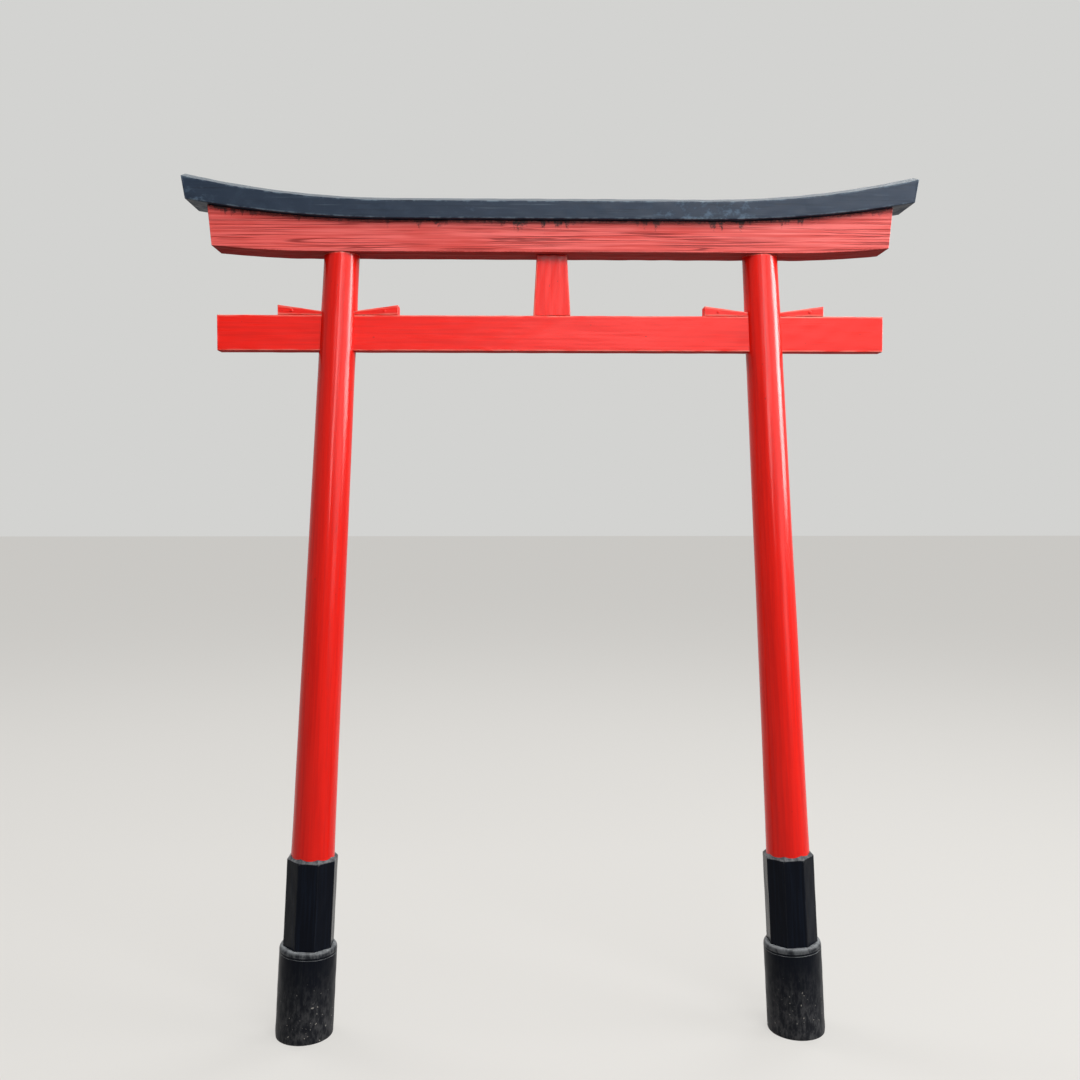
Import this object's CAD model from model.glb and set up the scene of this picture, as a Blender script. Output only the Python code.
"""A small votive torii gate, dressed for the render: gloss vermilion, weathered lintels and black feet.

Everything is in metres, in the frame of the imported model: X runs along the lintels, Y through the gate and Z
up, from an origin on the ground midway between the posts. Each timber is a skin worked out with numpy: a
rounded section carried along a spine, or rings about a leaning axis. Its vertices carry what the finishes
read: where they lie in the timber's grain, how near an edge they are, and how far below its top edge.
"""

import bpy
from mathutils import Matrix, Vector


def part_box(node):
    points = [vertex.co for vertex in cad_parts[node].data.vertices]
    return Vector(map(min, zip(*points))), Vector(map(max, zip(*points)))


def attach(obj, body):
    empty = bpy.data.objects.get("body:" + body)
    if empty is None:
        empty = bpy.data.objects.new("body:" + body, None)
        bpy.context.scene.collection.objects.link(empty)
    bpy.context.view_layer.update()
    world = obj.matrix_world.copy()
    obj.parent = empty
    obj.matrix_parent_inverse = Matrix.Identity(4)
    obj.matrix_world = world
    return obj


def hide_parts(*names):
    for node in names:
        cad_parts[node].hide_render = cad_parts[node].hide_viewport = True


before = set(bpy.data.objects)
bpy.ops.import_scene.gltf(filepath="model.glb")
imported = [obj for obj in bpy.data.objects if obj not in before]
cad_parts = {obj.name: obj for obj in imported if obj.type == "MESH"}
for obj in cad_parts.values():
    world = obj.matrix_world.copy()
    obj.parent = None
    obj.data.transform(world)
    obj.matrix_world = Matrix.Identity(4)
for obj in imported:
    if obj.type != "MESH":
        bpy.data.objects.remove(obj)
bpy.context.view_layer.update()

import logging
import math
from abc import ABC, abstractmethod
from dataclasses import dataclass
from enum import Enum

import bmesh
import bpy
import numpy as np
from mathutils import Vector
from numpy.typing import NDArray

Array = NDArray[np.float64]
Mask = NDArray[np.bool_]
Numbers = NDArray[np.int64]
Faces = list[list[int]]
Point = tuple[float, float, float]
Socket = bpy.types.NodeSocket
Tree = bpy.types.NodeTree

log = logging.getLogger("torii")

MM = 0.001
WORLD_AXES = np.eye(3)
WORLD_Y = WORLD_AXES[1]
WORLD_Z = WORLD_AXES[2]
LEAST_ROUNDING = 0.3 * MM
GRAIN_SHIFTS = (2.0, 40.0)  # least and most, in metres: far more than any figure's size
PAINT_IOR = 1.5  # of enamel and oil paint


class Named(Enum):
    """A choice among names that are also words in the nodes' names."""

    @property
    def label(self) -> str:
        """The word in node names."""
        return self.name.lower()


class Side(Named):
    """Which post a piece belongs to: its value is the sign of that post's X."""

    LEFT = -1
    RIGHT = 1

    @property
    def number(self) -> int:
        """0 on the left and 1 on the right, to tell the two sides' seeds apart."""
        return (self.value + 1) // 2


class Reach(Named):
    """Which way a wedge points from its post: its value is 1 where that is away from the gate's middle."""

    INNER = -1
    OUTER = 1


class GrainRun(Enum):
    """Which way a timber's fibres run: its value orders X, Y and Z as along, across and across."""

    LEVEL = (0, 1, 2)
    UPRIGHT = (2, 0, 1)


# Colour and nodes


# Inputs without a name of their own go by number. A MapRange turns the value in 0 from the range 1 to 2 into
# the range 3 to 4, and a colour Mix lays the colour in 7 over the one in 6, by the share in 0.
SMOOTH = {"interpolation_type": "SMOOTHSTEP"}
COLOURS = {"data_type": "RGBA", "output": 2}
TIMES = {"operation": "MULTIPLY"}
TIMES_PLUS = {"operation": "MULTIPLY_ADD"}


def linear(colour: str) -> tuple[float, float, float, float]:
    """Turn an sRGB hex colour to linear light.

    Args:
        colour: Six hex digits after a hash sign.

    Returns:
        Linear red, green and blue, and an alpha of 1.
    """
    parts = [int(colour[start:start + 2], 16) / 255 for start in (1, 3, 5)]
    red, green, blue = (part / 12.92 if part <= 0.04045 else ((part + 0.055) / 1.055) ** 2.4
                        for part in parts)
    return red, green, blue, 1.0


def add_node(tree: Tree, kind: str, inputs: dict | None = None, output: int | str = 0,
             **settings: str | bool | int) -> Socket | None:
    """Add a shader node to a tree, with its inputs and its settings.

    Args:
        tree: The tree to add to.
        kind: The node's Blender type, less the words ShaderNode.
        inputs: Input names or numbers, each with a value, a hex colour, or the output socket that feeds it.
        output: The name or number of the output that is wanted.
        settings: The node's other settings.

    Returns:
        The output that is wanted, or nothing where the node has none.
    """
    node = tree.nodes.new("ShaderNode" + kind)
    for name, value in settings.items():
        setattr(node, name, value)
    for name, value in (inputs or {}).items():
        if isinstance(value, Socket):
            tree.links.new(value, node.inputs[name])
        else:
            node.inputs[name].default_value = linear(value) if isinstance(value, str) else value
    return node.outputs[output] if node.outputs else None


def empty_tree(owner: bpy.types.Material | bpy.types.World) -> Tree:
    """Switch on the nodes of a material or a world, and clear them.

    Args:
        owner: The material or world.

    Returns:
        Its tree, with nothing in it.
    """
    owner.use_nodes = True
    owner.node_tree.nodes.clear()
    return owner.node_tree


# Surfaces


@dataclass
class Skin:
    """A closed surface as rings of points, with what its finish reads at each point."""

    points: Array  # rings x around x 3, in metres
    grain: Array  # rings x around x 3: along the fibres, and twice across them, in metres
    arris: Array  # rings x around: 1 on an edge, falling to 0 on the flats
    below: Array  # rings x around: metres below the piece's top edge
    cut: Array | float = 0.0  # rings x around: 1 on a cut end
    torus: bool = False  # the last ring joins the first, and there are no end caps


def swell(first: Array, second: Array, lengths: tuple[float, float], seed: int, waves: int = 12) -> Array:
    """Gentle random waves over a surface, from 0 to 1.

    Formula: the mean of several cosines, each with a random phase and a random number of waves for each of
    the two lengths, halved and raised by a half.

    Args:
        first: One surface coordinate, in metres.
        second: The other, in metres.
        lengths: Typical wave length along each coordinate, in metres.
        seed: Makes the waves of each piece its own.
        waves: How many cosines are added.

    Returns:
        The waves' height at each point.
    """
    draw = np.random.default_rng(seed)
    rates = draw.uniform(0.4, 1.6, (waves, 2)) * draw.choice((-1.0, 1.0), (waves, 2)) / lengths
    phases = draw.uniform(0.0, 2 * math.pi, waves)
    total = sum(np.cos(2 * math.pi * (rate[0] * first + rate[1] * second) + phase)
                for rate, phase in zip(rates, phases))
    return np.clip(0.5 + total / (2 * math.sqrt(waves)), 0.0, 1.0)


def distance_along(points: Array) -> Array:
    """Distance of each point from the first, along the line that joins them in order."""
    return np.concatenate(([0.0], np.cumsum(np.linalg.norm(np.diff(points, axis=0), axis=1))))


def section(share: Array, *corners: tuple[Array | float, Array | float]) -> Array:
    """Stack a section's corners, two coordinates each, at each station: stations x corners x 2."""
    stacked = [np.stack(np.broadcast_arrays(*corner, share)[:2], axis=1) for corner in corners]
    return np.stack(stacked, axis=1)


def rounded_section(corners: Array, radii: Array, inset: Array, spacing: float,
                    turn_steps: int = 4) -> tuple[Array, Array, Array]:
    """Round the corners of a polygon and space points along it, at every station of a timber at once.

    Formula: each corner's arc has its centre at the corner less the radius times the mitre of the two edges'
    normals, where the mitre is their sum divided by one plus their dot product. Its points are the centre
    plus the radius, less the inset, in directions that turn evenly from one normal to the other. Where the
    inset is more than the radius, a small rounding is left. Straight runs between the arcs are divided
    evenly.

    Args:
        corners: Stations x corners x 2, counterclockwise.
        radii: One radius for each corner.
        inset: How far the whole outline is drawn in at each station.
        spacing: Distance between points on the straight runs.
        turn_steps: Points on each arc, less one.

    Returns:
        Points and outward directions, stations x points x 2, and each point's distance from the nearest arc.
    """
    edges = np.roll(corners, -1, axis=1) - corners
    lengths = np.linalg.norm(edges, axis=2, keepdims=True)
    normals = np.stack((edges[..., 1], -edges[..., 0]), axis=2) / lengths
    before = np.roll(normals, 1, axis=1)
    mitre = (before + normals) / (1 + np.sum(before * normals, axis=2, keepdims=True))
    rounding = np.maximum(radii[None, :] - inset[:, None], LEAST_ROUNDING)[..., None]
    centres = corners - (inset[:, None, None] + rounding) * mitre
    start = np.arctan2(before[..., 1], before[..., 0])
    turn = np.mod(np.arctan2(normals[..., 1], normals[..., 0]) - start, 2 * math.pi)
    angles = start[..., None] + turn[..., None] * np.linspace(0.0, 1.0, turn_steps + 1)
    outward = np.stack((np.cos(angles), np.sin(angles)), axis=3)
    arcs = centres[:, :, None, :] + rounding[..., None] * outward
    points, directions, distances = [], [], []
    for corner in range(corners.shape[1]):
        last = arcs[:, corner, -1]
        following = arcs[:, (corner + 1) % corners.shape[1], 0]
        run = float(np.mean(np.linalg.norm(following - last, axis=1)))
        pieces = max(round(run / spacing), 1)
        steps = np.arange(1, pieces) / pieces
        straight = last[:, None] * (1 - steps[:, None]) + following[:, None] * steps[:, None]
        points += [arcs[:, corner], straight]
        directions += [outward[:, corner], np.repeat(normals[:, corner, None], len(steps), axis=1)]
        distances += [np.zeros(turn_steps + 1), np.minimum(steps, 1 - steps) * run]
    return np.concatenate(points, axis=1), np.concatenate(directions, axis=1), np.concatenate(distances)


def ring_quads(rings: int, around: int, torus: bool = False) -> Numbers:
    """Four-sided faces between rings of points.

    Args:
        rings: How many rings there are.
        around: How many points each ring has.
        torus: The last ring joins the first.

    Returns:
        Numbers of the faces' points, rings x around x 4.
    """
    index = np.arange(rings * around).reshape(rings, around)
    lower = index if torus else index[:-1]
    upper = np.roll(index, -1, axis=0) if torus else index[1:]
    return np.stack((lower, np.roll(lower, -1, axis=1), np.roll(upper, -1, axis=1), upper), axis=2)


def end_caps(rings: int, around: int) -> Faces:
    """One flat face on the first ring, turned to face outwards, and one on the last."""
    last = (rings - 1) * around
    return [list(range(around))[::-1], list(range(last, last + around))]


def strip(first: Numbers, second: Numbers) -> Numbers:
    """Four-sided faces between two lines of as many points."""
    return np.stack((first[:-1], first[1:], second[1:], second[:-1]), axis=1)


def make_object(name: str, skin: Skin, faces: Faces, sharp: float) -> bpy.types.Object:
    """Put a skin into a mesh object that sits at the origin.

    Args:
        name: The object's name.
        skin: Its points and what they carry.
        faces: Its faces, as numbers of points.
        sharp: Edges that turn by more than this angle, in radians, stay sharp.

    Returns:
        The object, in the scene, with its faces pointing outwards.
    """
    mesh = bpy.data.meshes.new(name)
    mesh.from_pydata(skin.points.reshape(-1, 3).tolist(), [], faces)
    for label, values in (("arris", skin.arris), ("below", skin.below), ("cut", skin.cut)):
        attribute = mesh.attributes.new(label, "FLOAT", "POINT")
        spread = np.broadcast_to(values, skin.arris.shape).astype(np.float32)
        attribute.data.foreach_set("value", spread.ravel())
    attribute = mesh.attributes.new("grain", "FLOAT_VECTOR", "POINT")
    attribute.data.foreach_set("vector", skin.grain.astype(np.float32).ravel())
    work = bmesh.new()
    work.from_mesh(mesh)
    bmesh.ops.recalc_face_normals(work, faces=work.faces)
    work.to_mesh(mesh)
    work.free()
    mesh.shade_smooth()
    mesh.set_sharp_from_angle(angle=sharp)
    mesh.update()
    piece = bpy.data.objects.new(name, mesh)
    bpy.context.scene.collection.objects.link(piece)
    return piece


# Finishes


@dataclass(frozen=True)
class Figure:
    """A random figure in a timber or its paint, around 0.5.

    It lies in the grain coordinates that each piece carries. Its sizes are the distance from one light place
    to the next, in metres.
    """

    along: float  # along the fibres
    across: float  # across them, both ways
    layers: float = 3.0  # how many finer figures lie in it
    strength: float = 0.55  # how strong each finer one is

    def value(self, tree: Tree) -> Socket:
        """Build the figure's nodes.

        Args:
            tree: The material's nodes.

        Returns:
            The figure's value.
        """
        grain = add_node(tree, "Attribute", output="Vector", attribute_name="grain")
        rates = (1 / self.along, 1 / self.across, 1 / self.across)
        drawn = add_node(tree, "VectorMath", {0: grain, 1: rates}, **TIMES)
        return add_node(tree, "TexNoise", {"Vector": drawn, "Scale": 1.0, "Detail": self.layers,
                                           "Roughness": self.strength})


class Finish(ABC):
    """A surface finish, built once as a material and shared by the pieces that have it."""

    name: str
    slot: str

    def material(self) -> bpy.types.Material:
        """Find the finish's material, or build it the first time.

        Returns:
            The material.
        """
        found = bpy.data.materials.get(self.name)
        if found is not None:
            return found
        made = bpy.data.materials.new(self.name)
        tree = empty_tree(made)
        add_node(tree, "OutputMaterial", {"Surface": self.paint(tree)})
        return made

    @abstractmethod
    def paint(self, tree: Tree) -> Socket:
        """Build the finish's nodes and return the shader's output."""

    def lying(self, tree: Tree, least: float, full: float, most: float = 1.0) -> Socket:
        """How far the surface faces up, or down where the heights are negative.

        Args:
            tree: The material's nodes.
            least: The height of the surface's normal at which the value leaves 0.
            full: The height at which it is at its most.
            most: Its value there.

        Returns:
            The value.
        """
        normal = add_node(tree, "NewGeometry", output="Normal")
        upward = add_node(tree, "SeparateXYZ", {0: normal}, "Z")
        return add_node(tree, "MapRange", {0: upward, 1: least, 2: full, 4: most}, **SMOOTH)

    def wear(self, tree: Tree, figure: Socket, onset: tuple[float, float],
             kept: tuple[float, float, float, float]) -> Socket:
        """How worn the paint is: most at the piece's edges, and there in patches.

        Args:
            tree: The material's nodes.
            figure: The figure that breaks the wear into patches.
            onset: The nearness to an edge, from 0 to 1, at which wear starts, and at which it is full.
            kept: Two values of the figure, and the share of the wear that each leaves.

        Returns:
            0 on sound paint, up to 1 where it is worn off.
        """
        arris = add_node(tree, "Attribute", output="Fac", attribute_name="arris")
        edge = add_node(tree, "MapRange", {0: arris, 1: onset[0], 2: onset[1]}, **SMOOTH)
        share = add_node(tree, "MapRange", {0: figure, **dict(enumerate(kept, start=1))}, **SMOOTH)
        return add_node(tree, "Math", {0: edge, 1: share}, **TIMES)

    def coats(self, tree: Tree, ground: str, *layers: tuple[Socket, str]) -> Socket:
        """Lay colours over a ground colour, one after another.

        Args:
            tree: The material's nodes.
            ground: The colour under all of them.
            layers: How much of each colour shows, and the colour.

        Returns:
            The colour that the eye sees.
        """
        colour = ground
        for amount, over in layers:
            colour = add_node(tree, "Mix", {0: amount, 6: colour, 7: over}, **COLOURS)
        return colour

    def dulled(self, tree: Tree, gloss: Socket | float, *films: tuple[Socket, float]) -> Socket:
        """Add to the roughness of bare paint what lies on it or has opened its grain.

        Args:
            tree: The material's nodes.
            gloss: The roughness of bare paint.
            films: How much there is of each, and what it adds to the roughness in full.

        Returns:
            The roughness.
        """
        for amount, added in films:
            gloss = add_node(tree, "Math", {0: amount, 1: added, 2: gloss}, **TIMES_PLUS)
        return gloss


@dataclass(frozen=True)
class VermilionEnamel(Finish):
    """Gloss vermilion enamel, brushed on planed cedar.

    To the eye it is one strong orange-red, a little deeper along the fibres, with the fibres and the brush's
    ripples showing in the gloss, a pale pink where edges have worn, dust on what faces up, and a deep dull
    red underneath.
    """

    name: str
    slot: str = "vermilion_paint"
    fresh: str = "#FA1A0A"
    deep: str = "#EC1608"
    chalk: str = "#F4786A"
    shade: str = "#A00B05"
    soil: str = "#4A120C"
    dust: str = "#9A6558"
    roughness: float = 0.3
    specular: float = 0.2
    broad_share: float = 0.5  # how much of the deeper red its broad areas take
    fibres: Figure = Figure(260 * MM, 8 * MM, 4.0, 0.6)  # growth rings are 2 to 3 mm apart, too fine to show
    tones: Figure = Figure(500 * MM, 120 * MM, 2.0)
    ripples: Figure = Figure(22 * MM, 8 * MM, 2.0)  # a brush leaves them 4 mm apart, coarser here to show
    patches: Figure = Figure(70 * MM, 8 * MM, 3.0, 0.6)
    nicks: Figure = Figure(18 * MM, 6 * MM, 1.0)
    fibre_relief: float = 0.12 * MM
    ripple_relief: float = 0.15 * MM

    def paint(self, tree: Tree) -> Socket:
        """Build the enamel's nodes.

        Args:
            tree: The material's nodes.

        Returns:
            The shader's output.
        """
        cut = add_node(tree, "Attribute", output="Fac", attribute_name="cut")
        fibre = self.fibres.value(tree)
        tone = self.tones.value(tree)
        patches = self.patches.value(tree)
        # colour: along the fibres, in broad areas, at worn edges, in nicks, under dust and underneath
        fresh = add_node(tree, "MapRange", {0: fibre, 1: 0.32, 2: 0.62}, **SMOOTH)
        broad = add_node(tree, "MapRange", {0: tone, 1: 0.45, 2: 0.75, 4: self.broad_share}, **SMOOTH)
        worn = self.wear(tree, patches, (0.4, 0.95), (0.36, 0.6, 0.15, 0.95))
        nick = add_node(tree, "MapRange", {0: self.nicks.value(tree), 1: 0.79, 2: 0.81, 4: 0.8}, **SMOOTH)
        clinging = add_node(tree, "MapRange", {0: patches, 1: 0.35, 2: 0.7, 3: 0.15, 4: 0.7}, **SMOOTH)
        settled = add_node(tree, "Math", {0: self.lying(tree, 0.75, 1.0), 1: clinging}, **TIMES)
        under = self.lying(tree, -0.5, -0.95, 0.7)
        colour = self.coats(tree, self.deep, (fresh, self.fresh), (broad, self.deep), (worn, self.chalk),
                            (nick, self.soil), (settled, self.dust), (under, self.shade))
        # gloss: fibres and cut ends are rougher than the filled wood on the sides, and dust and soot are dull
        gloss = add_node(tree, "MapRange", {0: fibre, 1: 0.3, 2: 0.7, 3: self.roughness + 0.06,
                                            4: self.roughness - 0.04}, **SMOOTH)
        rough = self.dulled(tree, gloss, (settled, 0.4), (under, 0.6), (cut, 0.35))
        raised = add_node(tree, "Bump", {"Height": fibre, "Strength": 1.0, "Distance": self.fibre_relief})
        rippled = add_node(tree, "Bump", {"Height": self.ripples.value(tree), "Strength": 1.0,
                                          "Distance": self.ripple_relief, "Normal": raised})
        return add_node(tree, "BsdfPrincipled", {"Base Color": colour, "Roughness": rough, "IOR": PAINT_IOR,
                                                 "Specular IOR Level": self.specular, "Normal": rippled})


@dataclass(frozen=True)
class WeatheredVermilion(Finish):
    """The same enamel after years of weather on the lower lintel.

    To the eye it is a faded, pinkish brick red with little gloss, open grain in broken wavy lines, and black
    mould that hangs in drips from under the upper lintel.
    """

    name: str = "weathered_vermilion_enamel"
    slot: str = "weathered_vermilion"
    faded: str = "#F06C67"
    brick: str = "#D4463F"
    shade: str = "#84201C"
    crack: str = "#8A1E1A"
    end_red: str = "#C7241B"
    mould: str = "#1B1314"
    specular: float = 0.2
    fibres: Figure = Figure(400 * MM, 7 * MM)  # growth rings are 2 to 3 mm apart, too fine to show
    tones: Figure = Figure(350 * MM, 50 * MM)
    fraying: Figure = Figure(7 * MM, 7 * MM, 3.0, 0.72)
    crack_lines: Figure = Figure(900 * MM, 14 * MM, 1.0, 0.35)
    crack_breaks: Figure = Figure(300 * MM, 35 * MM, 2.0)
    crack_offset: float = 0.06  # how far from its middle value the crack lines' figure has a line
    drip_columns: Figure = Figure(19 * MM, 900 * MM, 1.0, 0.5)
    drip_crowds: Figure = Figure(170 * MM, 900 * MM, 1.0)
    drip_length: float = 26 * MM
    least_drip: float = 5 * MM
    raggedness: float = 3.2
    relief: float = 0.8 * MM

    def paint(self, tree: Tree) -> Socket:
        """Build the weathered enamel's nodes.

        Args:
            tree: The material's nodes.

        Returns:
            The shader's output.
        """
        cut = add_node(tree, "Attribute", output="Fac", attribute_name="cut")
        below = add_node(tree, "Attribute", output="Fac", attribute_name="below")
        fibre = self.fibres.value(tree)
        frayed = self.fraying.value(tree)
        # colour: faded along the fibres, browner in broad areas and in the upper lintel's shelter, then worn
        # edges and open grain, the redder paint that soaked into the ends, mould, and shade underneath
        light = add_node(tree, "MapRange", {0: fibre, 1: 0.33, 2: 0.66}, **SMOOTH)
        broad = add_node(tree, "MapRange", {0: self.tones.value(tree), 1: 0.46, 2: 0.7, 4: 0.8}, **SMOOTH)
        shelter = add_node(tree, "MapRange", {0: below, 1: 30 * MM, 2: 0.0, 4: 0.55}, **SMOOTH)
        worn = self.wear(tree, frayed, (0.4, 1.0), (0.4, 0.62, 0.0, 0.7))
        cracks = self.cracks(tree)
        drips = self.drips(tree, below, frayed)
        under = self.lying(tree, -0.5, -0.95, 0.75)
        colour = self.coats(tree, self.brick, (light, self.faded), (broad, self.brick), (shelter, self.shade),
                            (worn, self.faded), (cracks, self.crack), (cut, self.end_red),
                            (drips, self.mould), (under, self.shade))
        # relief: raised fibres and open cracks, on the sides and not on the cut ends
        opened = add_node(tree, "Math", {0: fibre, 1: cracks}, operation="SUBTRACT")
        sides = add_node(tree, "MapRange", {0: cut, 3: 1.0, 4: 0.0})
        relief = add_node(tree, "Math", {0: opened, 1: sides}, **TIMES)
        raised = add_node(tree, "Bump", {"Height": relief, "Strength": 1.0, "Distance": self.relief})
        open_grain = add_node(tree, "MapRange", {0: fibre, 1: 0.3, 2: 0.7, 3: 0.6, 4: 0.36}, **SMOOTH)
        rough = self.dulled(tree, open_grain, (under, 0.5), (cut, 0.3))
        return add_node(tree, "BsdfPrincipled", {"Base Color": colour, "Roughness": rough, "IOR": PAINT_IOR,
                                                 "Specular IOR Level": self.specular, "Normal": raised})

    def cracks(self, tree: Tree) -> Socket:
        """Long wavy lines, where a figure drawn out along the fibres crosses either of two values.

        Formula: the figure less its middle value, made positive, then less the lines' offset and made
        positive again, is near 0 on a line.

        Args:
            tree: The material's nodes.

        Returns:
            0 on sound grain, up to 0.85 in a crack.
        """
        near = self.crack_lines.value(tree)
        for line in (0.5, self.crack_offset):
            aside = add_node(tree, "Math", {0: near, 1: line}, operation="SUBTRACT")
            near = add_node(tree, "Math", {0: aside}, operation="ABSOLUTE")
        line = add_node(tree, "MapRange", {0: near, 1: 0.035, 2: 0.006}, **SMOOTH)
        broken = add_node(tree, "MapRange", {0: self.crack_breaks.value(tree), 1: 0.38, 2: 0.58, 3: 0.1,
                                             4: 0.85}, **SMOOTH)
        return add_node(tree, "Math", {0: line, 1: broken}, **TIMES)

    def drips(self, tree: Tree, below: Socket, frayed: Socket) -> Socket:
        """Mould that hangs down by a length that differs from drip to drip, with ragged edges.

        Formula: a point is mouldy where its depth below the seat, over the drip's length there, plus a ragged
        figure, stays under a limit. Drips are longer and darker where they crowd together.

        Args:
            tree: The material's nodes.
            below: Depth below the seat.
            frayed: The figure that makes the edges ragged.

        Returns:
            How black the mould is.
        """
        columns = self.drip_columns.value(tree)
        crowds = self.drip_crowds.value(tree)
        thick = add_node(tree, "MapRange", {0: columns, 1: 0.46, 2: 0.62}, **SMOOTH)
        crowded = add_node(tree, "MapRange", {0: crowds, 1: 0.4, 2: 0.66, 3: 0.25, 4: 1.0}, **SMOOTH)
        hang = add_node(tree, "Math", {0: thick, 1: crowded}, **TIMES)
        length = add_node(tree, "Math", {0: hang, 1: self.drip_length, 2: self.least_drip}, **TIMES_PLUS)
        share = add_node(tree, "Math", {0: below, 1: length}, operation="DIVIDE")
        ragged = add_node(tree, "Math", {0: frayed, 1: self.raggedness, 2: share}, **TIMES_PLUS)
        mould = add_node(tree, "MapRange", {0: ragged, 1: 2.7, 2: 1.8}, **SMOOTH)
        dark = add_node(tree, "MapRange", {0: crowded, 1: 0.25, 2: 0.8, 3: 0.5, 4: 0.92})
        return add_node(tree, "Math", {0: mould, 1: dark}, **TIMES)


@dataclass(frozen=True)
class SlatePaint(Finish):
    """Blue-black paint on the upper lintel, greyed by the weather.

    To the eye it is a cool blue-black slate with small pale curls of bloom in some stretches and fine level
    scratches, half matt.
    """

    name: str = "slate_paint_on_cedar"
    slot: str = "slate_paint"
    slate: str = "#222F40"
    bloom: str = "#52667A"
    scratch: str = "#71828F"
    soot: str = "#181F28"
    dust: str = "#767A7A"
    specular: float = 0.17
    fibres: Figure = Figure(220 * MM, 5 * MM, 3.0, 0.6)  # scratches are under 1 mm wide, too fine to show
    clouds: Figure = Figure(26 * MM, 18 * MM, 4.0, 0.68)
    stretches: Figure = Figure(420 * MM, 300 * MM, 1.0)
    relief: float = 0.4 * MM

    def paint(self, tree: Tree) -> Socket:
        """Build the slate paint's nodes.

        Args:
            tree: The material's nodes.

        Returns:
            The shader's output.
        """
        cut = add_node(tree, "Attribute", output="Fac", attribute_name="cut")
        fibre = self.fibres.value(tree)
        cloud = self.clouds.value(tree)
        # colour: cloudy bloom in some stretches, scratches and soot along the fibres, sooty ends, worn edges,
        # and dust on top
        cloudy = add_node(tree, "MapRange", {0: cloud, 1: 0.5, 2: 0.66}, **SMOOTH)
        stretch = add_node(tree, "MapRange", {0: self.stretches.value(tree), 1: 0.48, 2: 0.62, 3: 0.06,
                                              4: 0.75}, **SMOOTH)
        bloom = add_node(tree, "Math", {0: cloudy, 1: stretch}, **TIMES)
        pale = add_node(tree, "MapRange", {0: fibre, 1: 0.6, 2: 0.76, 4: 0.25}, **SMOOTH)
        dark = add_node(tree, "MapRange", {0: fibre, 1: 0.44, 2: 0.28, 4: 0.6}, **SMOOTH)
        end = add_node(tree, "Math", {0: cut, 1: 0.75}, **TIMES)
        worn = self.wear(tree, cloud, (0.4, 1.0), (0.42, 0.62, 0.0, 0.45))
        washed = add_node(tree, "Math", {0: fibre, 1: 0.6, 2: cloud}, **TIMES_PLUS)
        clinging = add_node(tree, "MapRange", {0: washed, 1: 0.6, 2: 1.0, 3: 0.22, 4: 0.58}, **SMOOTH)
        settled = add_node(tree, "Math", {0: self.lying(tree, 0.5, 0.95), 1: clinging}, **TIMES)
        colour = self.coats(tree, self.slate, (bloom, self.bloom), (pale, self.scratch), (dark, self.soot),
                            (end, self.soot), (worn, self.scratch), (settled, self.dust))
        half_matt = add_node(tree, "MapRange", {0: cloud, 1: 0.35, 2: 0.65, 3: 0.4, 4: 0.6}, **SMOOTH)
        rough = self.dulled(tree, half_matt, (settled, 0.4))
        raised = add_node(tree, "Bump", {"Height": fibre, "Strength": 1.0, "Distance": self.relief})
        return add_node(tree, "BsdfPrincipled", {"Base Color": colour, "Roughness": rough, "IOR": PAINT_IOR,
                                                 "Specular IOR Level": self.specular, "Normal": raised})


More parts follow.
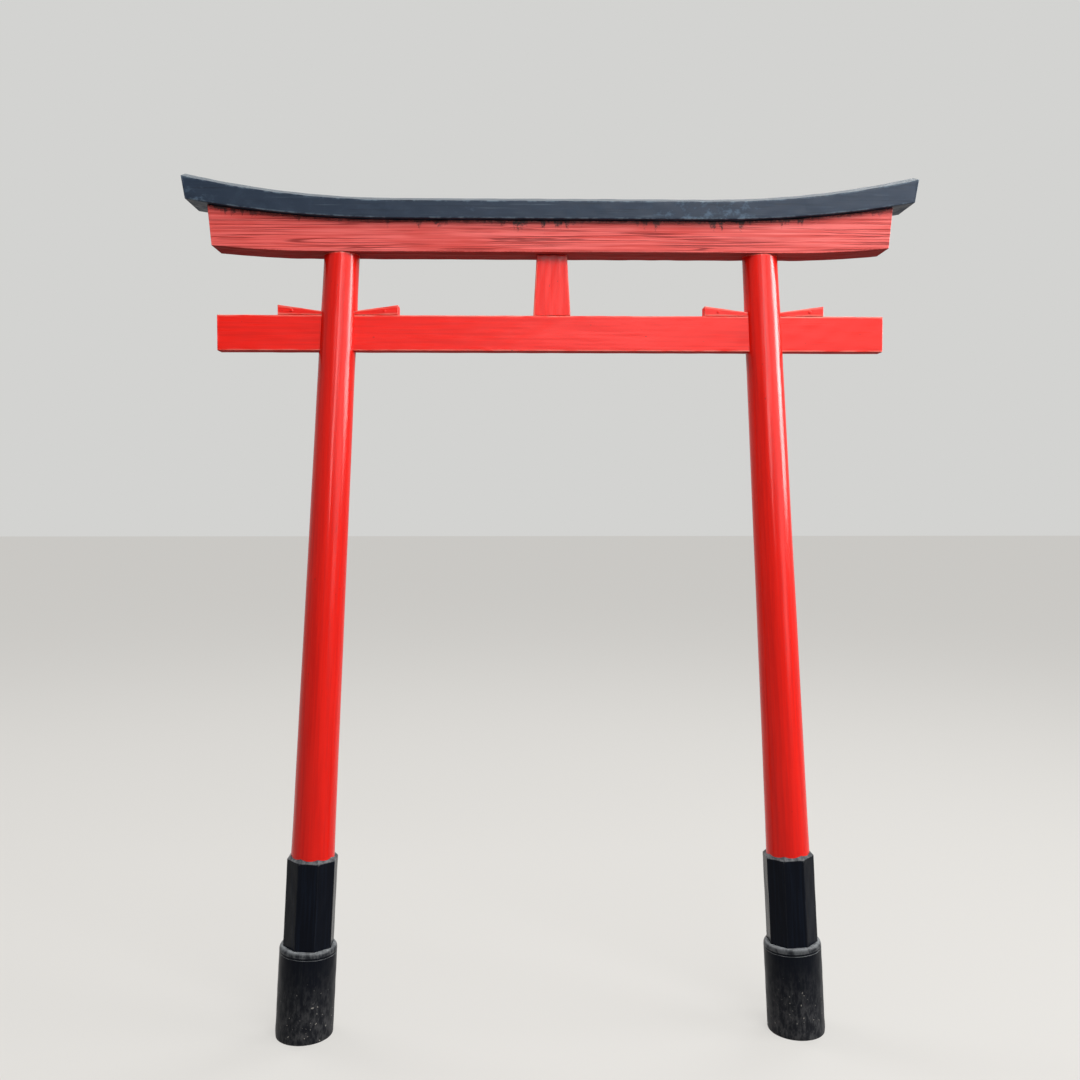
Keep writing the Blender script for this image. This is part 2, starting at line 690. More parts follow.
@dataclass(frozen=True)
class BlackPaint(Finish):
    """Black enamel on the feet, splashed and dusty near the ground.

    To the eye it is a deep blue-black gloss, greyer where it faces up, with grey dust in soft mottles near
    the ground and a few pale specks.
    """

    name: str
    slot: str
    dust_share: float  # how much dust covers, where it clings best
    black: str = "#060A14"
    lifted: str = "#0D1420"
    worn_grey: str = "#85888A"
    dust: str = "#5B5B5C"
    speck: str = "#A9A59D"
    dust_top: float = 240 * MM
    lying_share: float = 0.35  # how grey it is where it faces up
    roughness: float = 0.25
    specular: float = 0.07
    fibres: Figure = Figure(160 * MM, 6 * MM)  # growth rings are 2 to 3 mm apart, too fine to show
    clouds: Figure = Figure(35 * MM, 20 * MM, 5.0, 0.68)
    mottles: Figure = Figure(30 * MM, 13 * MM, 5.0, 0.74)
    spots: Figure = Figure(6 * MM, 6 * MM, 0.0)
    relief: float = 0.3 * MM

    def paint(self, tree: Tree) -> Socket:
        """Build the black paint's nodes.

        Args:
            tree: The material's nodes.

        Returns:
            The shader's output.
        """
        height = add_node(tree, "SeparateXYZ", {0: add_node(tree, "TexCoord", output="Object")}, "Z")
        fibre = self.fibres.value(tree)
        cloud = self.clouds.value(tree)
        mottles = self.mottles.value(tree)
        # colour: lifted a little along the fibres, worn on edges, dusty below and on what faces up, splashed
        light = add_node(tree, "MapRange", {0: fibre, 1: 0.42, 2: 0.72}, **SMOOTH)
        worn = self.wear(tree, cloud, (0.45, 1.0), (0.4, 0.6, 0.1, 0.6))
        low = add_node(tree, "MapRange", {0: height, 1: self.dust_top, 2: 0.0}, **SMOOTH)
        clinging = add_node(tree, "MapRange", {0: mottles, 1: 0.4, 2: 0.68, 3: 0.08, 4: self.dust_share},
                            **SMOOTH)
        film = add_node(tree, "Math", {0: low, 1: clinging}, **TIMES)
        upward = self.lying(tree, 0.25, 0.9, self.lying_share)
        patchy = add_node(tree, "MapRange", {0: cloud, 1: 0.38, 2: 0.62, 3: 0.6, 4: 1.25}, **SMOOTH)
        greyed = add_node(tree, "Math", {0: upward, 1: patchy}, **TIMES)
        bright = add_node(tree, "MapRange", {0: self.spots.value(tree), 1: 0.8, 2: 0.825}, **SMOOTH)
        near = add_node(tree, "MapRange", {0: low, 1: 0.02, 2: 0.8, 4: 0.8}, **SMOOTH)
        splash = add_node(tree, "Math", {0: bright, 1: near}, **TIMES)
        colour = self.coats(tree, self.black, (light, self.lifted), (worn, self.worn_grey), (film, self.dust),
                            (greyed, self.worn_grey), (splash, self.speck))
        rough = self.dulled(tree, self.roughness, (film, 0.5))
        raised = add_node(tree, "Bump", {"Height": fibre, "Strength": 1.0, "Distance": self.relief})
        return add_node(tree, "BsdfPrincipled", {"Base Color": colour, "Roughness": rough, "IOR": PAINT_IOR,
                                                 "Specular IOR Level": self.specular, "Normal": raised})


POLE_ENAMEL = VermilionEnamel("vermilion_enamel_on_poles", fresh="#F01706", deep="#E01206", roughness=0.19,
                              specular=0.24, broad_share=0.3, fibre_relief=0.04 * MM,
                              ripple_relief=0.04 * MM)
BOARD_ENAMEL = VermilionEnamel("vermilion_enamel_on_boards")
LINTEL_ENAMEL = WeatheredVermilion()
SLATE = SlatePaint()
SLEEVE_BLACK = BlackPaint("black_enamel_on_sleeves", "sleeve_black", dust_share=0.32)
COLLAR_BLACK = BlackPaint("black_paint_on_collars", "collar_black", dust_share=0.64, lifted="#10141A",
                          lying_share=0.6, roughness=0.34)


# Pieces


@dataclass
class Piece(ABC):
    """One piece of the gate: a skin in one finish."""

    name: str
    finish: Finish
    seed: int  # makes its random figure and waves its own
    sharp: float = math.radians(40)

    @property
    def label(self) -> str:
        """The piece's name in the scene."""
        return self.name

    @abstractmethod
    def skin(self) -> Skin:
        """Work out the piece's surface."""

    def faces(self, skin: Skin) -> Faces:
        """Join the skin's rings, and cap the ends of an open run.

        Args:
            skin: The piece's surface.

        Returns:
            Its faces.
        """
        rings, around = skin.arris.shape
        caps = [] if skin.torus else end_caps(rings, around)
        return ring_quads(rings, around, skin.torus).reshape(-1, 4).tolist() + caps

    def own_grain(self, along: Array, first: Array, second: Array) -> Array:
        """Stack grain coordinates, shifted so that no two pieces have the same figure."""
        shift = np.random.default_rng(self.seed).uniform(*GRAIN_SHIFTS, 3)
        return np.stack((along, first, second), axis=-1) + shift

    def build(self) -> bpy.types.Object:
        """Make the piece's object and dress it.

        Returns:
            The object.
        """
        skin = self.skin()
        piece = make_object(self.label, skin, self.faces(skin), self.sharp)
        piece.data.materials.append(self.finish.material())
        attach(piece, "root")
        return piece


@dataclass
class NailHead(Piece):
    """A low domed nail head, painted over."""

    at: Point = (0.0, 0.0, 0.0)
    outward: Point = (0.0, -1.0, 0.0)
    radius: float = 4.5 * MM
    dome: float = 1.6 * MM
    sunk: float = 1.5 * MM  # how far its shank's ring lies under the surface
    first_angle: float = 0.08  # of the smallest ring, in radians from the dome's middle
    wear_power: int = 6  # how closely its wear keeps to the rim
    steps: int = 7
    columns: int = 20

    def skin(self) -> Skin:
        """Work out rings of a dome about the line that it faces along.

        Formula: a ring at angle a has the radius times sin a, and stands out by the dome times cos a.

        Returns:
            The dome, its edge worn, with one more ring under the surface.
        """
        lift = np.linspace(self.first_angle, math.pi / 2, self.steps)
        turn = np.linspace(0.0, 2 * math.pi, self.columns, endpoint=False)
        ring = np.append(self.radius * np.sin(lift), self.radius)
        out = np.append(self.dome * np.cos(lift), -self.sunk)
        facing = np.array(self.outward) / np.linalg.norm(self.outward)
        sideways = np.cross(WORLD_Z, facing) / np.linalg.norm(np.cross(WORLD_Z, facing))
        upward = np.cross(facing, sideways)
        across, up = (ring[:, None, None] * wave(turn)[None, :, None] for wave in (np.cos, np.sin))
        points = np.array(self.at) + across * sideways + up * upward + out[:, None, None] * facing
        worn = np.sin(np.append(lift, 0.0))[:, None] ** self.wear_power
        arris = np.broadcast_to(worn, points.shape[:2])
        return Skin(points, self.own_grain(*np.moveaxis(points, 2, 0)), arris, np.zeros(points.shape[:2]))


@dataclass
class Timber(Piece):
    """A piece that stands for the CAD node whose name it has."""

    @property
    def label(self) -> str:
        """The piece's name in the scene, where the node has its own."""
        return f"{self.name}_timber"

    def build(self) -> bpy.types.Object:
        """Make the timber's object, dress it and let it stand for its CAD node.

        Returns:
            The object.
        """
        piece = super().build()
        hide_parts(self.name)
        return piece


# Sawn timbers


@dataclass
class SawnTimber(Timber):
    """A timber with flat sides: a rounded section carried along a spine, with rounded ends."""

    edge_radius: float = 2.2 * MM
    end_rounding: float = 0.9  # of the ends, as a share of the edges'
    wear_reach: float = 2.6 * MM  # how far wear spreads from an edge
    station_spacing: float = 5 * MM
    section_spacing: float = 5 * MM
    wave_depth: float = 0.5 * MM  # planing marks and shrinkage, under the nominal faces
    wave_lengths: tuple[float, float] = (120 * MM, 50 * MM)
    run: GrainRun = GrainRun.LEVEL

    @abstractmethod
    def half_length(self) -> float:
        """How far the spine reaches to each side of its middle."""

    @abstractmethod
    def spine(self, share: Array) -> tuple[Array, Array, Array]:
        """Origin and two axes of the section at each share of the half-length, from -1 to 1."""

    @abstractmethod
    def corners(self, share: Array) -> Array:
        """The section's corners at each share, stations x corners x 2, counterclockwise."""

    def radii(self) -> Array:
        """The rounding of each of four corners."""
        return np.full(4, self.edge_radius)

    def stations(self) -> tuple[Array, Array, Array]:
        """Places along the spine, with the rounding of both ends and a ring on each end face.

        Formula: an end is rounded by a quarter circle, so a station at angle a stands back from the end by
        the radius times one less sin a, and its section is drawn in by the radius times one less cos a. The
        ring on the end face is drawn in by the wear's reach more.

        Returns:
            Shares of the half-length from -1 to 1, the insets, and how far each station is from the nearest
            end's edge, over the surface.
        """
        half = self.half_length()
        rounding = self.end_rounding * self.edge_radius
        # four steps round the edge, and the last one again for the ring on the end face
        angles = np.linspace(0.0, math.pi / 2, 5)[[1, 2, 3, 4, 4]]
        on_end_face = np.array([0.0, 0.0, 0.0, 0.0, 1.0])
        setback = rounding * (1 - np.sin(angles))
        inset = rounding * (1 - np.cos(angles)) + self.wear_reach * on_end_face
        count = round(2 * (half - rounding) / self.station_spacing)
        middle = np.linspace(rounding - half, half - rounding, count)
        places = np.concatenate(((setback - half)[::-1], middle, half - setback))
        insets = np.concatenate((inset[::-1], np.zeros(count), inset))
        return places / half, insets, half - np.abs(places) + np.maximum(insets - rounding, 0.0)

    def skin(self) -> Skin:
        """Carry the rounded section along the spine.

        Formula: a point is the spine's origin plus its section coordinates along the two axes. The faces are
        drawn in by gentle waves, so that no face is dead flat and nothing stands proud of the nominal size.

        Returns:
            The timber's surface.
        """
        share, insets, from_end = self.stations()
        corners = self.corners(share)
        outline, outward, from_arc = rounded_section(corners, self.radii(), insets, self.section_spacing)
        origin, first, second = self.spine(share)
        around = distance_along(outline[len(share) // 2])
        depth = self.wave_depth * swell(distance_along(origin)[:, None], around, self.wave_lengths, self.seed)
        outline = outline - outward * (depth * (insets == 0)[:, None])[..., None]
        points = origin[:, None] + outline[..., :1] * first[:, None] + outline[..., 1:] * second[:, None]
        on_end_face = (insets > self.edge_radius)[:, None]
        from_edge = np.minimum(np.where(on_end_face, np.inf, from_arc), from_end[:, None])
        below = corners[..., 1].max(axis=1)[:, None] - outline[..., 1]
        grain = self.own_grain(*(points[..., axis] for axis in self.run.value))
        return Skin(points, grain, np.exp(-from_edge / self.wear_reach), below, cut=on_end_face.astype(float))


@dataclass
class StraightTimber(SawnTimber):
    """A sawn timber whose spine is a straight line along its node's box."""

    def half_length(self) -> float:
        """Half of the box, along the fibres.

        Returns:
            The length, in metres.
        """
        low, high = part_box(self.name)
        axis = self.run.value[0]
        return (high[axis] - low[axis]) / 2

    def spine(self, share: Array) -> tuple[Array, Array, Array]:
        """A line at the middle of the box's length, so that the section's coordinates are the gate's own.

        Args:
            share: Shares of the half-length.

        Returns:
            Origins, and the two axes across the fibres.
        """
        low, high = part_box(self.name)
        axis = self.run.value[0]
        along, first, second = WORLD_AXES[list(self.run.value)]
        places = (low[axis] + high[axis]) / 2 + share * self.half_length()
        return np.outer(places, along), first[None], second[None]


@dataclass
class TieBeam(StraightTimber):
    """The square-cut beam through both posts."""

    station_spacing: float = 6 * MM

    def corners(self, share: Array) -> Array:
        """A rectangle, the same all along."""
        low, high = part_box(self.name)
        return section(share, (low.y, low.z), (high.y, low.z), (high.y, high.z), (low.y, high.z))


@dataclass
class Wedge(StraightTimber):
    """A wedge on the tie beam, thin inside its post and thick at its free end."""

    side: Side = Side.LEFT
    reach: Reach = Reach.OUTER
    slope: float = 16 / 115
    section_spacing: float = 4 * MM
    station_spacing: float = 4 * MM
    wave_lengths: tuple[float, float] = (70 * MM, 30 * MM)

    def corners(self, share: Array) -> Array:
        """A rectangle whose height falls evenly from the free end.

        Args:
            share: Shares of the half-length.

        Returns:
            Stations x 4 x 2.
        """
        low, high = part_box(self.name)
        points_to = self.side.value * self.reach.value
        top = high.z - self.slope * (1 - points_to * share) * self.half_length()
        return section(share, (low.y, low.z), (high.y, low.z), (high.y, top), (low.y, top))


@dataclass
class CentreStrut(StraightTimber):
    """The short upright between tie beam and lintel, wider at its foot."""

    head_width: float = 83 * MM
    run: GrainRun = GrainRun.UPRIGHT
    section_spacing: float = 4 * MM
    wave_depth: float = 0.25 * MM
    wave_lengths: tuple[float, float] = (160 * MM, 30 * MM)

    def corners(self, share: Array) -> Array:
        """A rectangle that narrows evenly upward.

        Args:
            share: Shares of the half-length.

        Returns:
            Stations x 4 x 2.
        """
        low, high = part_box(self.name)
        half = high.x + (self.head_width / 2 - high.x) * (1 + share) / 2
        return section(share, (-half, low.y), (half, low.y), (half, high.y), (-half, high.y))


@dataclass(frozen=True)
class Upturned:
    """A line in the gate's upright plane, level in the middle and turned up along an arc at both ends."""

    level: float
    straight: float  # how far from the middle it stays level
    end: float  # how far from the middle its rise is measured
    rise: float

    @property
    def radius(self) -> float:
        """The arc's radius: the run squared plus the rise squared, over twice the rise."""
        return ((self.end - self.straight) ** 2 + self.rise**2) / (2 * self.rise)

    def points(self, x: Array) -> Array:
        """Points on the line.

        Formula: beyond the straight half-length, the height over the level is the radius less the square root
        of the radius squared less the run squared.

        Args:
            x: Places along X.

        Returns:
            Places x 3.
        """
        run = np.maximum(np.abs(x) - self.straight, 0.0)
        height = self.level + (self.radius - np.sqrt(self.radius**2 - run**2))
        return np.stack((x, np.zeros_like(x), height), axis=1)


# The line on which the two lintels meet
SEAT = Upturned(2248 * MM, 420 * MM, 980 * MM, 48 * MM)


@dataclass
class Lintel(SawnTimber):
    """A timber between two curved lines: that of its underside, and that along the top of its faces."""

    under: Upturned = SEAT
    over: Upturned = SEAT
    end_height: float = 0.0  # over which its end slants outward
    end_slant: float = 0.0
    edge_radius: float = 2.5 * MM
    wave_depth: float = 0.8 * MM

    def half_length(self) -> float:
        """Half of the underside."""
        return self.under.end

    def lines(self, share: Array) -> tuple[Array, Array]:
        """Points on both lines.

        Formula: the underside's X is the share of its half-length, and the other line's is the same share of
        a half-length that is longer by the end's height times the tangent of its slant.

        Args:
            share: Shares of the half-length.

        Returns:
            Points on the underside and on the upper line, stations x 3.
        """
        half = self.half_length()
        over_half = half + self.end_height * math.tan(self.end_slant)
        return self.under.points(share * half), self.over.points(share * over_half)

    def spine(self, share: Array) -> tuple[Array, Array, Array]:
        """The underside's line, with the second axis pointing at the upper line.

        Args:
            share: Shares of the half-length.

        Returns:
            Origins and two axes.
        """
        under, over = self.lines(share)
        upward = over - under
        return under, WORLD_Y[None], upward / np.linalg.norm(upward, axis=1, keepdims=True)

    def face_height(self, share: Array) -> Array:
        """How far the two lines are apart."""
        under, over = self.lines(share)
        return np.linalg.norm(over - under, axis=1)


@dataclass
class LowerLintel(Lintel):
    """The lintel on the posts' heads: straight in the middle, turned up and taller at its slanting ends."""

    under: Upturned = Upturned(2162 * MM, 640 * MM, 915 * MM, 14 * MM)
    end_height: float = 86 * MM
    end_slant: float = math.radians(7)
    nail_share: float = 0.46  # of the way up the end face
    nail_aside: float = 9 * MM

    def corners(self, share: Array) -> Array:
        """A rectangle as tall as the two lines are apart.

        Args:
            share: Shares of the half-length.

        Returns:
            Stations x 4 x 2.
        """
        low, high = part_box(self.name)
        face = self.face_height(share)
        return section(share, (low.y, 0.0), (high.y, 0.0), (high.y, face), (low.y, face))

    def end_nail(self, side: Side) -> dict[str, Point]:
        """Where the nail in an end face sits, and which way it faces.

        Formula: it lies beside the line from the underside to the seat at that end, and faces square to it.

        Args:
            side: Which end.

        Returns:
            Its place and direction.
        """
        (under,), (over,) = self.lines(np.array([float(side.value)]))
        upward = over - under
        at = under + self.nail_share * upward + self.nail_aside * WORLD_Y
        outward = side.value * np.cross(WORLD_Y, upward)
        return {"at": tuple(at.tolist()), "outward": tuple(outward.tolist())}


@dataclass
class UpperLintel(Lintel):
    """The capping lintel, with a low rounded ridge and ends that curve up and lean out.

    Its eaves turn up more sharply than its seat, so its faces grow taller towards the ends.
    """

    over: Upturned = Upturned(2296 * MM, 420 * MM, 980 * MM, 60 * MM)
    end_height: float = 60 * MM
    end_slant: float = math.radians(10)
    ridge_rise: float = 24 * MM
    ridge_rounding: float = 40 * MM

    def radii(self) -> Array:
        """Sharp edges at the seat and the eaves, and a wide rounding along the ridge."""
        return np.array([self.edge_radius] * 3 + [self.ridge_rounding] + [self.edge_radius])

    def corners(self, share: Array) -> Array:
        """Five corners: the seat, the eaves and the ridge between them.

        Args:
            share: Shares of the half-length.

        Returns:
            Stations x 5 x 2.
        """
        low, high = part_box(self.name)
        face = self.face_height(share)
        return section(share, (low.y, 0.0), (high.y, 0.0), (high.y, face), (0.0, face + self.ridge_rise),
                       (low.y, face))


# Round timbers


@dataclass
class LeaningTimber(Timber):
    """A timber about the axis of one post, which stands on the ground and leans inward."""

    side: Side = Side.LEFT
    half_spacing: float = 694 * MM
    lean: float = math.radians(3.2)

    def middle(self, height: Array) -> Array:
        """The axis's X at a height above the ground."""
        return self.side.value * (self.half_spacing - height * math.tan(self.lean))

    def place(self, sideways: Array, through: Array, along: Array) -> Array:
        """Turn coordinates across and along the axis into points of the gate.

        Args:
            sideways: Distance from the axis in the gate's upright plane.
            through: Distance from that plane.
            along: Distance up the axis.

        Returns:
            Points.
        """
        sign = self.side.value
        x = sign * self.half_spacing + sideways * math.cos(self.lean) - sign * along * math.sin(self.lean)
        z = sign * sideways * math.sin(self.lean) + along * math.cos(self.lean)
        return np.stack((x, through, z), axis=-1)


@dataclass
class Post(LeaningTimber):
    """A round post, straight inside its foot and tapering above, with a slot for the tie beam and wedges."""

    foot_radius: float = 60 * MM
    top_radius: float = 47.5 * MM
    taper_start: float = 510 * MM
    taper_end: float = 2285.6 * MM
    slot_half: float = 22.8 * MM
    slot_height: float = 109.3 * MM
    sleeve_top: float = 511 * MM
    row_spacing: float = 6 * MM
    mouth_columns: int = 20
    flank_columns: int = 56
    wave_depth: float = 1.1 * MM
    wave_counts: tuple[int, ...] = (3, 5, 8, 13, 17, 22)  # strips round the post, of each width
    fade_at_slot: float = 50 * MM  # over which planing sets in
    fade_at_sleeve: float = 80 * MM
    wear_reach: float = 4 * MM
    sharp: float = math.radians(30)

    def radius(self, height: Array) -> Array:
        """Radius at each height: constant in the foot, then falling evenly.

        Args:
            height: Heights above the ground.

        Returns:
            Radii.
        """
        along = height / math.cos(self.lean)
        share = np.clip((along - self.taper_start) / (self.taper_end - self.taper_start), 0.0, 1.0)
        return self.foot_radius + (self.top_radius - self.foot_radius) * share

    def rows(self) -> tuple[Array, int, int]:
        """Space the rings up the post, with one at the slot's floor and one at its roof.

        Returns:
            Heights of the rings, and the numbers of those two.
        """
        low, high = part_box(self.name)
        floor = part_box("tie_beam")[0].z
        roof = floor + self.slot_height
        heights, marks = [], []
        for start, end in ((low.z, floor), (floor, roof), (roof, high.z)):
            count = max(round((end - start) / self.row_spacing), 2)
            heights.append(np.linspace(start, end, count + 1)[:-1])
            marks.append(sum(len(part) for part in heights))
        return np.append(np.concatenate(heights), high.z), marks[0], marks[1]

    def angles(self, radius: Array) -> Array:
        """Directions of the columns at each ring.

        Formula: the slot's mouths lie to both sides, and their edges are at the arcsine of the slot's
        half-width over the radius. Each mouth and each flank between them is divided evenly.

        Args:
            radius: Each ring's radius.

        Returns:
            Rings x columns, in radians.
        """
        edge = np.arcsin(self.slot_half / radius)[:, None]
        mouth = np.linspace(-1.0, 1.0, self.mouth_columns + 1)[None, :-1]
        flank = np.linspace(0.0, 1.0, self.flank_columns + 1)[None, :-1]
        right = edge * mouth
        back = edge + (math.pi - 2 * edge) * flank
        return np.concatenate((right, back, right + math.pi, back + math.pi), axis=1)

    def planing(self, tall: Array, angle: Array) -> Array:
        """What the hand plane took off: long shallow strips side by side, which break up the gloss.

        Formula: the mean of cosines with a whole number of waves round the post, each with a phase that
        drifts up the post as a slow sine, weaker where the waves are more, kept between nothing and the wave
        depth.

        Args:
            tall: Heights.
            angle: Directions about the axis.

        Returns:
            The depth at each point.
        """
        draw = np.random.default_rng(self.seed)
        total = np.zeros_like(angle)
        for waves in self.wave_counts:
            phase, drift, slow = draw.uniform(0.0, 2 * math.pi, 3)
            length = draw.uniform(0.5, 0.9)  # of the drift up the post, in metres
            wander = 1.6 * np.sin(2 * math.pi * tall / length + drift)
            swelling = 0.6 + 0.4 * np.sin(2 * math.pi * tall / (1.7 * length) + slow)
            weight = (self.wave_counts[0] / waves) ** 0.6
            total += weight * swelling * np.cos(waves * angle + phase + wander)
        return self.wave_depth * np.clip(0.5 + total / len(self.wave_counts), 0.0, 1.0)

    def skin(self) -> Skin:
        """Work out the post's rings.

        Formula: at each height the ring is an ellipse about the axis, as wide as the radius over the cosine
        of the lean, less what the plane took off, which is nothing at the slot and inside the sleeve.

        Returns:
            The post's surface.
        """
        heights, floor, roof = self.rows()
        radius = self.radius(heights)
        angle = self.angles(radius)
        tall = heights[:, None] + np.zeros_like(angle)
        from_slot = np.abs(tall - (heights[floor] + heights[roof]) / 2) - self.slot_height / 2
        clear = np.clip(from_slot / self.fade_at_slot, 0.0, 1.0)
        clear *= np.clip((tall - self.sleeve_top) / self.fade_at_sleeve, 0.0, 1.0)
        real = radius[:, None] - self.planing(tall, angle) * clear
        x = self.middle(tall) + real / math.cos(self.lean) * np.cos(angle)
        y = real * np.sin(angle)
        grain = self.own_grain(tall, x - self.middle(tall), y)
        from_top = heights[-1] - tall
        return Skin(np.stack((x, y, tall), axis=-1), grain, np.exp(-from_top / self.wear_reach), from_top)

    def faces(self, skin: Skin) -> Faces:
        """Join the rings, leave the slot's mouths open, and line the slot.

        Args:
            skin: The post's surface.

        Returns:
            Its faces.
        """
        rings, around = skin.arris.shape
        _, floor, roof = self.rows()
        half_turn = self.mouth_columns + self.flank_columns
        in_mouth = np.arange(around) % half_turn < self.mouth_columns
        in_slot = (np.arange(rings - 1) >= floor) & (np.arange(rings - 1) < roof)
        outside = ring_quads(rings, around)[~(in_slot[:, None] & in_mouth)]
        index = np.arange(rings * around).reshape(rings, around)
        right = np.arange(self.mouth_columns + 1)
        left = (half_turn + self.mouth_columns - right) % around
        rise = np.arange(floor, roof + 1)
        lining = [strip(index[row, right], index[row, left]) for row in (floor, roof)]
        lining += [strip(index[rise, right[edge]], index[rise, left[edge]]) for edge in (0, -1)]
        return np.concatenate([outside, *lining]).tolist() + end_caps(rings, around)


@dataclass
class SleeveBoard(LeaningTimber):
    """One board of the eight-sided sleeve: flat outside, hollowed to the post, mitred, bevelled up to it."""

    number: int = 0
    boards: int = 8
    outer: float = 66 * MM
    inner: float = 60.3 * MM
    joint: float = 0.15 * MM
    foot: float = 216 * MM
    shoulder: float = 499.5 * MM
    feather: float = 0.25 * MM  # what is left of the board along the bevel's top
    edge_radius: float = 1.2 * MM
    edge_steps: int = 4
    columns: int = 20  # on the outside, and again in the hollow
    rows: int = 46
    bevel_rows: int = 6
    wave_depth: float = 0.5 * MM
    wave_lengths: tuple[float, float] = (110 * MM, 50 * MM)
    corner_wear: tuple[float, float] = (0.52, 1.2 * MM)  # how strong it is, and how far it spreads
    bevel_wear: tuple[float, float] = (0.8, 0.7 * MM)
    sharp: float = math.radians(28)

    def outline(self) -> tuple[Array, Array, Array]:
        """The board's section, outward from the post and sideways: the outside one way, the hollow back.

        Formula: the outer face is a straight line whose two corners are arcs of the edge radius, and the
        inner face is an arc about the post's axis that ends on the mitre lines. Both have as many points.

        Returns:
            Outward and sideways coordinates, and the distance from the nearest outer corner.
        """
        half_turn = math.pi / self.boards
        half_width = self.outer * math.tan(half_turn) - self.joint / math.cos(half_turn)
        flat_half = half_width - self.edge_radius
        arc = np.linspace(0.0, math.pi / 2 - half_turn, self.edge_steps + 1)[1:]
        arc_out = self.outer - self.edge_radius * (1 - np.cos(arc))
        arc_side = flat_half + self.edge_radius * np.sin(arc)
        flat = np.linspace(-flat_half, flat_half, self.columns - 2 * self.edge_steps)
        sweep = half_turn - math.asin(self.joint / self.inner)
        hollow = np.linspace(sweep, -sweep, self.columns)
        out = (arc_out[::-1], np.full_like(flat, self.outer), arc_out, self.inner * np.cos(hollow))
        side = (-arc_side[::-1], flat, arc_side, self.inner * np.sin(hollow))
        on_arc = np.zeros(self.edge_steps)
        from_corner = (on_arc, flat_half - np.abs(flat), on_arc, np.ones(self.columns))
        return np.concatenate(out), np.concatenate(side), np.concatenate(from_corner)

    def skin(self) -> Skin:
        """Carry the section up the leaning axis, and bevel it.

        Formula: up to the shoulder the section stays the same. Over it, the outside draws in evenly to the
        hollow's line, and its height is the shoulder's plus how far it has drawn in from the outer face. So
        the bevel is a plane, and it meets the round post higher at its corners.

        Returns:
            The board's surface.
        """
        out, sideways, from_corner = self.outline()
        bevel_shares = np.arange(1, self.bevel_rows + 1) / self.bevel_rows
        bevel = np.concatenate((np.zeros(self.rows), bevel_shares))[:, None]
        hollow_out, hollow_side = out[self.columns:], sideways[self.columns:]
        target_out = np.concatenate((hollow_out[::-1] + self.feather, hollow_out))
        target_side = np.concatenate((hollow_side[::-1], hollow_side))
        reach = out + bevel * (target_out - out)
        across = sideways + bevel * (target_side - sideways)
        outside = np.arange(2 * self.columns) < self.columns
        rise = np.where(outside, self.outer - reach, bevel * (self.outer - out))
        level = np.linspace(self.foot, self.shoulder, self.rows)
        level = np.append(level, np.full(self.bevel_rows, self.shoulder))[:, None]
        along = level + np.where(bevel > 0, rise, 0.0)
        wave = self.wave_depth * swell(along, across, self.wave_lengths, self.seed)
        pressed = reach - wave * outside * (1 - bevel)
        facing = 2 * math.pi * self.number / self.boards - math.pi / 2
        x = pressed * math.cos(facing) - across * math.sin(facing)
        y = pressed * math.sin(facing) + across * math.cos(facing)
        from_bevel = np.maximum(self.shoulder - along, 0.0)
        (at_corner, corner_spread), (at_bevel, bevel_spread) = self.corner_wear, self.bevel_wear
        arris = np.maximum(at_corner * np.exp(-from_corner / corner_spread),
                           at_bevel * np.exp(-from_bevel / bevel_spread))
        points = self.place(x, y, along)
        return Skin(points, self.own_grain(along, x, y), arris, self.shoulder - along)

    def faces(self, skin: Skin) -> Faces:
        """Join the rings, and close both ends with strips from the outside to the hollow.

        Args:
            skin: The board's surface.

        Returns:
            Its faces.
        """
        rings, around = skin.arris.shape
        outside = np.arange(self.columns)
        hollow = around - 1 - outside
        ends = [strip(outside, hollow) + start for start in (0, (rings - 1) * around)]
        return np.concatenate([ring_quads(rings, around).reshape(-1, 4), *ends]).tolist()


